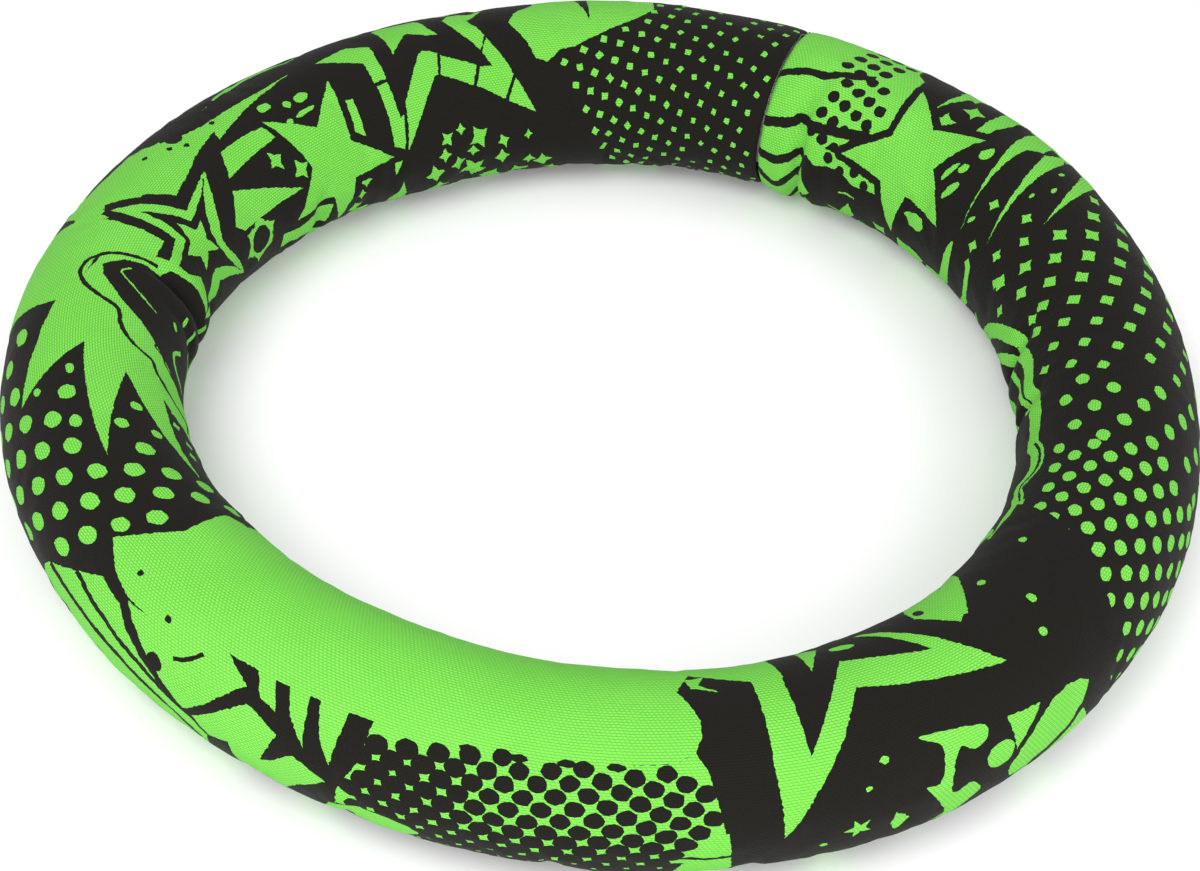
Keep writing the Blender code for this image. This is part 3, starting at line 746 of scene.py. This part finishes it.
def relief(x, y):
    """How far the cloth stands over (+) or under (-) the plain tube, in mm."""
    x, y = np.asarray(x, float), np.asarray(y, float)
    d = simulated(x, y) + folds(x, y)
    # long, shallow unevenness of the foam under the cloth
    d += 0.16 * np.sin(2 * np.pi * 7 * x / AROUND + 0.6 * np.sin(y / 19)) * np.cos(y / 19 + 0.7)
    d += 0.12 * np.sin(2 * np.pi * 13 * x / AROUND + 2.1) * np.sin(2 * y / 19 + 0.4)
    # the two seams pull in, with the cloth rolled over on each side
    for dist in (np.minimum(np.abs(y - V0), np.abs(y - V1)),):
        d -= 1.25 * np.exp(-((dist / 0.75) ** 2))
        d -= 0.25 * np.exp(-((dist / 2.5) ** 2))
        # each stitch draws the cloth in a little
        d -= 0.12 * np.exp(-((dist / 2.2) ** 2)) * (0.5 + 0.5 * np.cos(2 * np.pi * x / (AROUND / 100)))
    end = np.abs((x - END_SEAM + AROUND / 2) % AROUND - AROUND / 2)
    d -= 1.0 * np.exp(-((end / 0.5) ** 2))
    d -= 0.22 * np.exp(-((end / 2.2) ** 2))
    # the sleeve's first end puffs up beside the seam, over to the first fold
    first = (END_SEAM - x + AROUND / 2) % AROUND - AROUND / 2
    d += 0.35 * np.exp(-(((first - 5.5) / 3.2) ** 2)) * (0.5 + 0.5 * np.sin(y / 19 - math.pi * 0.9)) * 2 * 0.5
    return d


def place(x, y, over=0.0):
    """Points on the ring, in metres, for points of the strip."""
    x, y = np.asarray(x, float), np.asarray(y, float)
    theta, phi = x / HOOP, y / TUBE - math.pi / 2
    r = TUBE + relief(x, y) + over
    rho = hoop_radius(theta) + r * np.cos(phi)
    z = REST + r * np.sin(phi)
    # the underside lies flat on the floor
    soft = 0.35
    z = np.where(z < soft, soft * np.exp(np.clip((z - soft) / soft, -6, 0)) * 0.9 + 0.1 * soft, z)
    return np.stack([rho * np.cos(theta), rho * np.sin(theta), z], axis=-1) * MM


def make_sleeve():
    draw_print()
    pts, tris, ink = flat_mesh()
    co = place(pts[:, 0], pts[:, 1])
    # the points on the strip's edges, which meet in the two seams, and their places rounded to 2 µm
    key = np.round(co / 2e-6).astype(np.int64)
    edge = (
        (np.abs(pts[:, 0] - END_SEAM) < 1e-3)
        | (np.abs(pts[:, 0] - END_SEAM - AROUND) < 1e-3)
        | (np.abs(pts[:, 1] - V0) < 1e-3)
        | (np.abs(pts[:, 1] - V1) < 1e-3)
    )
    mesh = bpy.data.meshes.new("printed_sleeve")
    mesh.from_pydata([tuple(p) for p in co], [], [tuple(int(i) for i in t) for t in tris])
    corners = tris.reshape(-1)
    left, half = END_SEAM, END_SEAM + AROUND / 2
    mid_x = pts[tris].mean(axis=1)[:, 0].repeat(3)
    x, y = pts[corners, 0], pts[corners, 1]
    row = (mid_x > half).astype(float)
    u = (x - left - row * AROUND / 2) / (AROUND / 2)
    v = (y - V0) / GIRTH
    bake = np.stack([0.004 + 0.992 * u, 0.004 + 0.488 * v + 0.504 * row], axis=1)
    strip = np.stack([(x - left) / 100, (y - V0) / 100], axis=1)
    for name, uv in (("OFBake", bake), ("strip", strip)):
        layer = mesh.uv_layers.new(name=name)
        layer.data.foreach_set("uv", uv.astype(np.float32).reshape(-1))
    attribute = mesh.attributes.new("ink", "FLOAT", "FACE")
    attribute.data.foreach_set("value", ink.astype(np.float32))
    mesh.validate()
    mesh.shade_smooth()
    obj = bpy.data.objects.new("printed_sleeve", mesh)
    bpy.context.scene.collection.objects.link(obj)
    print("sleeve", len(mesh.vertices), "points", len(mesh.polygons), "faces", "shapes", len(art))
    return obj


# ---------------------------------------------------------------- materials


class Nodes:
    def __init__(self, name):
        self.material = bpy.data.materials.new(name)
        self.material.use_nodes = True
        self.tree = self.material.node_tree
        self.shader = self.tree.nodes["Principled BSDF"]

    def add(self, kind, **values):
        node = self.tree.nodes.new(kind)
        for name, value in values.items():
            setattr(node, name, value)
        return node

    def link(self, a, b):
        self.tree.links.new(a, b)

    def math(self, operation, a, b=None, c=None, clamp=False):
        node = self.add("ShaderNodeMath", operation=operation, use_clamp=clamp)
        for socket, value in zip(node.inputs, (a, b, c)):
            if value is None:
                continue
            if isinstance(value, (int, float)):
                socket.default_value = value
            else:
                self.link(value, socket)
        return node.outputs[0]

    def mix(self, factor, a, b, blend="MIX"):
        node = self.add("ShaderNodeMix", data_type="RGBA", blend_type=blend)
        for socket, value in ((node.inputs[0], factor), (node.inputs[6], a), (node.inputs[7], b)):
            if isinstance(value, (int, float)):
                socket.default_value = value
            elif isinstance(value, (tuple, list)):
                socket.default_value = (*value, 1)
            else:
                self.link(value, socket)
        return node.outputs[2]

    def noise(self, vector, scale, detail=2.0, rough=0.5):
        node = self.add("ShaderNodeTexNoise")
        node.inputs["Scale"].default_value = scale
        node.inputs["Detail"].default_value = detail
        node.inputs["Roughness"].default_value = rough
        self.link(vector, node.inputs["Vector"])
        return node.outputs["Fac"]

    def bump(self, height, strength, distance, normal=None):
        node = self.add("ShaderNodeBump")
        node.inputs["Strength"].default_value = strength
        node.inputs["Distance"].default_value = distance
        self.link(height, node.inputs["Height"])
        if normal is not None:
            self.link(normal, node.inputs["Normal"])
        return node.outputs["Normal"]


def srgb(code):
    return tuple(((int(code[i : i + 2], 16) / 255 + 0.055) / 1.055) ** 2.4 if int(code[i : i + 2], 16) > 10 else int(code[i : i + 2], 16) / 255 / 12.92 for i in (0, 2, 4))


def knit_material():
    n = Nodes("printed_knit")
    uv = n.add("ShaderNodeUVMap", uv_map="strip")
    parts = n.add("ShaderNodeSeparateXYZ")
    n.link(uv.outputs[0], parts.inputs[0])
    x, y = parts.outputs[0], parts.outputs[1]  # in units of 100 mm
    place_ = uv.outputs[0]
    # rows wander a little, as the cloth was cut and pulled by hand
    drift = n.math("MULTIPLY", n.math("SUBTRACT", n.noise(place_, 4.0, 1.0), 0.5), 0.010)
    y = n.math("ADD", y, drift)
    # knitted loops: columns run along the tube, each loop a small v
    rows = n.math("MULTIPLY", y, 100 / 0.56)
    across = n.math("FRACT", rows)
    fold = n.math("ABSOLUTE", n.math("SUBTRACT", n.math("MULTIPLY", across, 2.0), 1.0))
    # each row sits a little further on than the one below it, which draws slanting lines over the cloth
    step = n.math("MULTIPLY", n.math("FLOOR", rows), 0.37)
    shifted = n.math("ADD", n.math("MULTIPLY", x, 100 / 0.86), step)
    along = n.math("FRACT", n.math("ADD", shifted, n.math("MULTIPLY", fold, 0.40)))
    loop = n.math("POWER", n.math("SINE", n.math("MULTIPLY", along, math.pi)), 0.6)
    groove = n.math("SUBTRACT", 1.0, n.math("POWER", fold, 2.5))
    height = n.math("MULTIPLY", n.math("MULTIPLY_ADD", loop, 0.62, 0.38), n.math("MULTIPLY_ADD", groove, 0.72, 0.28))
    attribute = n.add("ShaderNodeAttribute", attribute_type="GEOMETRY", attribute_name="ink")
    ink = attribute.outputs["Fac"]
    # large and small variation of the dye
    broad = n.noise(place_, 3.0, 3.0)
    fine = n.noise(place_, 160.0, 2.0, 0.6)
    green_a = n.mix(broad, GREEN_LOW, GREEN_HIGH)
    # the green is multiplied by the knit's height: painted shade in the grooves between the loops and a painted
    # highlight on their tops, with a little random tone from the fine noise
    knit_painted_shade = n.math("MULTIPLY_ADD", height, 0.66, 0.395)
    knit_painted_shade = n.math("ADD", knit_painted_shade, n.math("MULTIPLY", n.math("SUBTRACT", fine, 0.5), 0.16))
    green = n.mix(1.0, green_a, knit_painted_shade, "MULTIPLY")
    black_a = n.mix(fine, BLACK_LOW, BLACK_HIGH)
    # the black is made lighter on the tops of the loops: a painted highlight
    black = n.mix(n.math("MULTIPLY", height, 0.35), black_a, BLACK_PAINTED_HIGHLIGHT)
    colour = n.mix(ink, black, green)
    n.link(colour, n.shader.inputs["Base Color"])
    rough = n.math("ADD", n.math("MULTIPLY", fine, 0.10), n.math("MULTIPLY_ADD", ink, -0.03, 0.80))
    n.link(rough, n.shader.inputs["Roughness"])
    fuzz = n.bump(fine, 0.25, 0.00012)
    # the print fills the loops, so they show less through the black
    n.link(n.bump(n.math("MULTIPLY", height, n.math("MULTIPLY_ADD", ink, 0.45, 0.55)), 0.6, 0.00022, fuzz), n.shader.inputs["Normal"])
    n.shader.inputs["Sheen Weight"].default_value = 0.04
    n.shader.inputs["Sheen Roughness"].default_value = 0.45
    n.shader.inputs["Specular IOR Level"].default_value = 0.08
    return n.material


def thread_material():
    n = Nodes("black_thread")
    coords = n.add("ShaderNodeTexCoord").outputs["Object"]
    strands = n.add("ShaderNodeTexWave", wave_type="BANDS", bands_direction="DIAGONAL")
    strands.inputs["Scale"].default_value = 900
    strands.inputs["Distortion"].default_value = 1.5
    n.link(coords, strands.inputs["Vector"])
    fibre = n.noise(coords, 3500, 2.0)
    n.link(n.mix(strands.outputs["Fac"], srgb("15130f"), srgb("37332f")), n.shader.inputs["Base Color"])
    n.link(n.math("MULTIPLY_ADD", fibre, 0.2, 0.5), n.shader.inputs["Roughness"])
    n.link(n.bump(strands.outputs["Fac"], 0.4, 0.0001), n.shader.inputs["Normal"])
    n.shader.inputs["Sheen Weight"].default_value = 0.2
    return n.material


def foam_material():
    n = Nodes("white_foam")
    coords = n.add("ShaderNodeTexCoord").outputs["Object"]
    cells = n.add("ShaderNodeTexVoronoi", feature="F1")
    cells.inputs["Scale"].default_value = 900
    n.link(coords, cells.inputs["Vector"])
    n.link(n.mix(cells.outputs["Distance"], srgb("f2f0ea"), srgb("d9d6cd")), n.shader.inputs["Base Color"])
    n.link(n.math("MULTIPLY_ADD", cells.outputs["Distance"], 0.2, 0.65), n.shader.inputs["Roughness"])
    n.link(n.bump(cells.outputs["Distance"], 0.4, 0.0003), n.shader.inputs["Normal"])
    return n.material


def tape_material():
    n = Nodes("joint_tape")
    coords = n.add("ShaderNodeTexCoord").outputs["Object"]
    creped = n.add("ShaderNodeTexWave", wave_type="BANDS", bands_direction="Y")
    creped.inputs["Scale"].default_value = 320
    creped.inputs["Distortion"].default_value = 4
    n.link(coords, creped.inputs["Vector"])
    n.link(n.mix(creped.outputs["Fac"], srgb("d8cfa8"), srgb("e9e2c4")), n.shader.inputs["Base Color"])
    n.link(n.math("MULTIPLY_ADD", creped.outputs["Fac"], 0.15, 0.45), n.shader.inputs["Roughness"])
    n.link(n.bump(creped.outputs["Fac"], 0.3, 0.0001), n.shader.inputs["Normal"])
    return n.material


GREEN_LOW, GREEN_HIGH = srgb("67c241"), srgb("7cd353")
# the third black is the painted highlight on the tops of the knit's loops
BLACK_LOW, BLACK_HIGH, BLACK_PAINTED_HIGHLIGHT = srgb("0c0b09"), srgb("171613"), srgb("23211c")


# ---------------------------------------------------------------- pieces

sleeve = make_sleeve()
sleeve.data.materials.append(knit_material())
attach(sleeve, "root")
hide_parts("sleeve")

thread = thread_material()


def stitches():
    """The zigzag that joins the sleeve's long edges, following the soft hoop."""
    count, per = 100, 8
    curve = bpy.data.curves.new("zigzag_stitch", "CURVE")
    curve.dimensions = "3D"
    curve.bevel_depth = 0.00021
    curve.bevel_resolution = 2
    spline = curve.splines.new("POLY")
    rows = []
    for k in range(count):
        for j in range(per):
            t = j / per
            side = 1 - 4 * t if t < 0.5 else -3 + 4 * t
            x = END_SEAM + 2.0 + (AROUND - 4.0) * (k + t) / count
            lift = 0.12 + 0.22 * (1 - side * side)
            rows.append(place(x, V1 + side * 2.0, 0.0) if False else seam_point(x, side * 2.0, lift))
    spline.points.add(len(rows) - 1)
    spline.points.foreach_set("co", np.concatenate([np.array(rows), np.ones((len(rows), 1))], axis=1).astype(np.float32).reshape(-1))
    obj = bpy.data.objects.new("zigzag_stitch", curve)
    bpy.context.scene.collection.objects.link(obj)
    obj.data.materials.append(thread)
    return obj


def seam_point(x, side, lift):
    y = V1 - abs(side) if side < 0 else V0 + side
    return place(x, y, lift)


zigzag = stitches()
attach(zigzag, "root")
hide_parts("seam_needle_thread")



def follow_hoop(node, name, material):
    """The inner piece again, eased out and in with the soft hoop so that it stays inside the sleeve."""
    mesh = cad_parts[node].data.copy()
    mesh.name = name
    co = np.empty(len(mesh.vertices) * 3)
    mesh.vertices.foreach_get("co", co)
    co = co.reshape(-1, 3)
    theta = np.arctan2(co[:, 1], co[:, 0])
    shift = (hoop_radius(theta) - HOOP) * MM
    co[:, 0] += shift * np.cos(theta)
    co[:, 1] += shift * np.sin(theta)
    mesh.vertices.foreach_set("co", co.reshape(-1))
    mesh.materials.clear()
    mesh.materials.append(material)
    mesh.shade_smooth()
    mesh.update()
    obj = bpy.data.objects.new(name, mesh)
    bpy.context.scene.collection.objects.link(obj)
    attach(obj, "root")
    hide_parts(node)
    return obj


foam = follow_hoop("foam_core", "foam_hoop", foam_material())
follow_hoop("core_joint_tape", "joint_tape_wrap", tape_material())
follow_hoop("seam_bobbin_thread", "bobbin_stitch", thread)
follow_hoop("end_closing_thread", "end_closing_stitch", thread)

# ---------------------------------------------------------------- floor, light and camera

floor_mesh = bpy.data.meshes.new("floor")
floor_mesh.from_pydata([(-6, -6, 0), (6, -6, 0), (6, 6, 0), (-6, 6, 0)], [], [(0, 1, 2, 3)])
floor = bpy.data.objects.new("floor", floor_mesh)
bpy.context.scene.collection.objects.link(floor)
floor_look = Nodes("floor")
floor_look.shader.inputs["Base Color"].default_value = (0.9, 0.9, 0.9, 1)
floor_look.shader.inputs["Roughness"].default_value = 0.9
floor.data.materials.append(floor_look.material)
floor.location.z = -0.0002

bpy.context.scene.view_settings.view_transform = "Standard"
world = bpy.data.worlds.new("studio")
bpy.context.scene.world = world
world.use_nodes = True
world.node_tree.nodes["Background"].inputs["Color"].default_value = (1, 1, 1, 1)
world.node_tree.nodes["Background"].inputs["Strength"].default_value = 0.8


def area_light(name, position, target, size, power):
    light = bpy.data.lights.new(name, "AREA")
    light.shape = "DISK"
    light.size = size
    light.energy = power
    obj = bpy.data.objects.new(name, light)
    obj.location = position
    obj.rotation_euler = (Vector(target) - Vector(position)).to_track_quat("-Z", "Y").to_euler()
    bpy.context.scene.collection.objects.link(obj)


area_light("key", (-0.4, -0.6, 1.1), (0, 0, 0), 0.8, 8)
area_light("fill", (0.8, -0.3, 0.7), (0, 0, 0), 0.8, 3)
area_light("front", (0.0, -1.0, 0.45), (0, -0.1, 0), 0.6, 6)

camera_data = bpy.data.cameras.new("camera")
camera = bpy.data.objects.new("camera", camera_data)
bpy.context.scene.collection.objects.link(camera)
eye = Vector((0, -0.4866, 0.48286))
aim = Vector((-0.0016, -0.0149, 0.01876))
forward = (aim - eye).normalized()
right0 = forward.cross(Vector((0, 0, 1))).normalized()
up0 = right0.cross(forward)
roll = math.radians(4.005)
right = right0 * math.cos(roll) + up0 * math.sin(roll)
up = up0 * math.cos(roll) - right0 * math.sin(roll)
camera.matrix_world = Matrix.Translation(eye) @ Matrix((right, up, -forward)).transposed().to_4x4()
camera_data.lens = 94.738
camera_data.sensor_width = 36
camera_data.sensor_fit = "HORIZONTAL"
camera_data.clip_start = 0.01
bpy.context.scene.camera = camera
